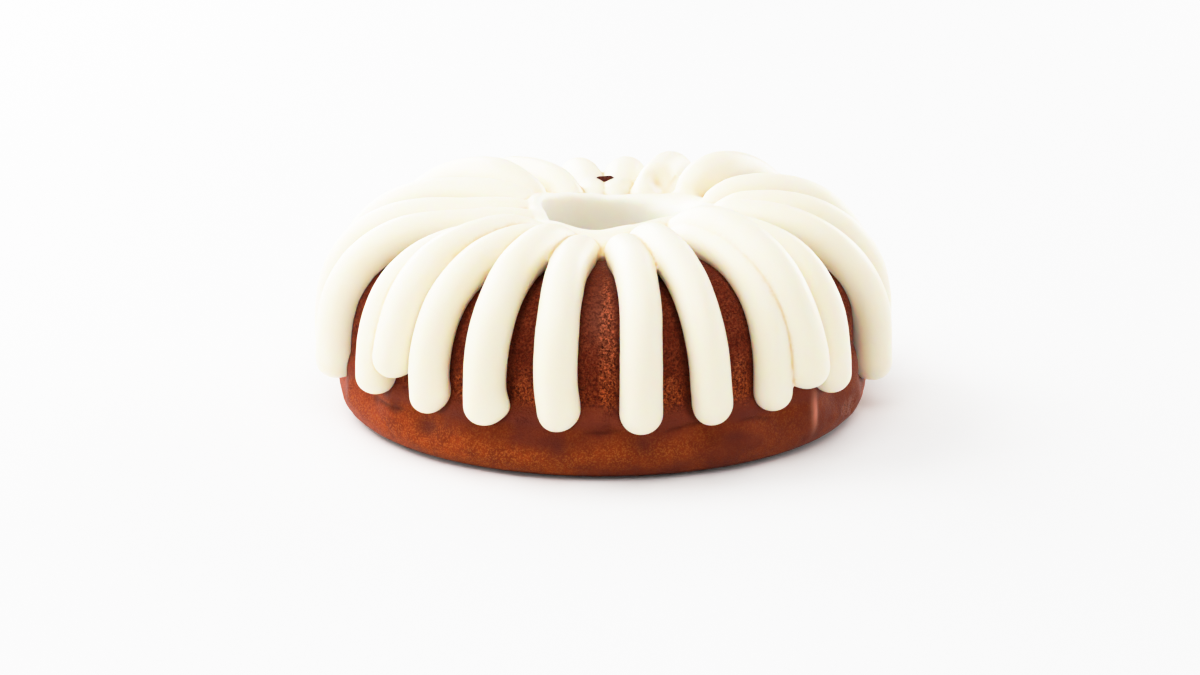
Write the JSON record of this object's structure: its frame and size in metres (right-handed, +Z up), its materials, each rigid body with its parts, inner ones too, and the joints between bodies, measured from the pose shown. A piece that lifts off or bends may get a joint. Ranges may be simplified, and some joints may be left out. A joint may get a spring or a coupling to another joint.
{
  "type": "bundt cake",
  "caption": "Whole ring-shaped fluted cake with a hole through its middle, under thick piped icing whose rounded fingers run over its crest and down its side.",
  "frame": {"origin": "middle of the hole, on the flat underside", "axes": "+Z up; the camera of the picture looks along +Y, so -Y is the front and +X is to its right"},
  "size_m": [0.27, 0.2689, 0.1066],
  "materials": {
    "crumb": "satin",
    "icing": "satin"
  },
  "bodies": {
    "root": {"cake": "crumb", "icing": "icing"}
  },
  "joints": []
}
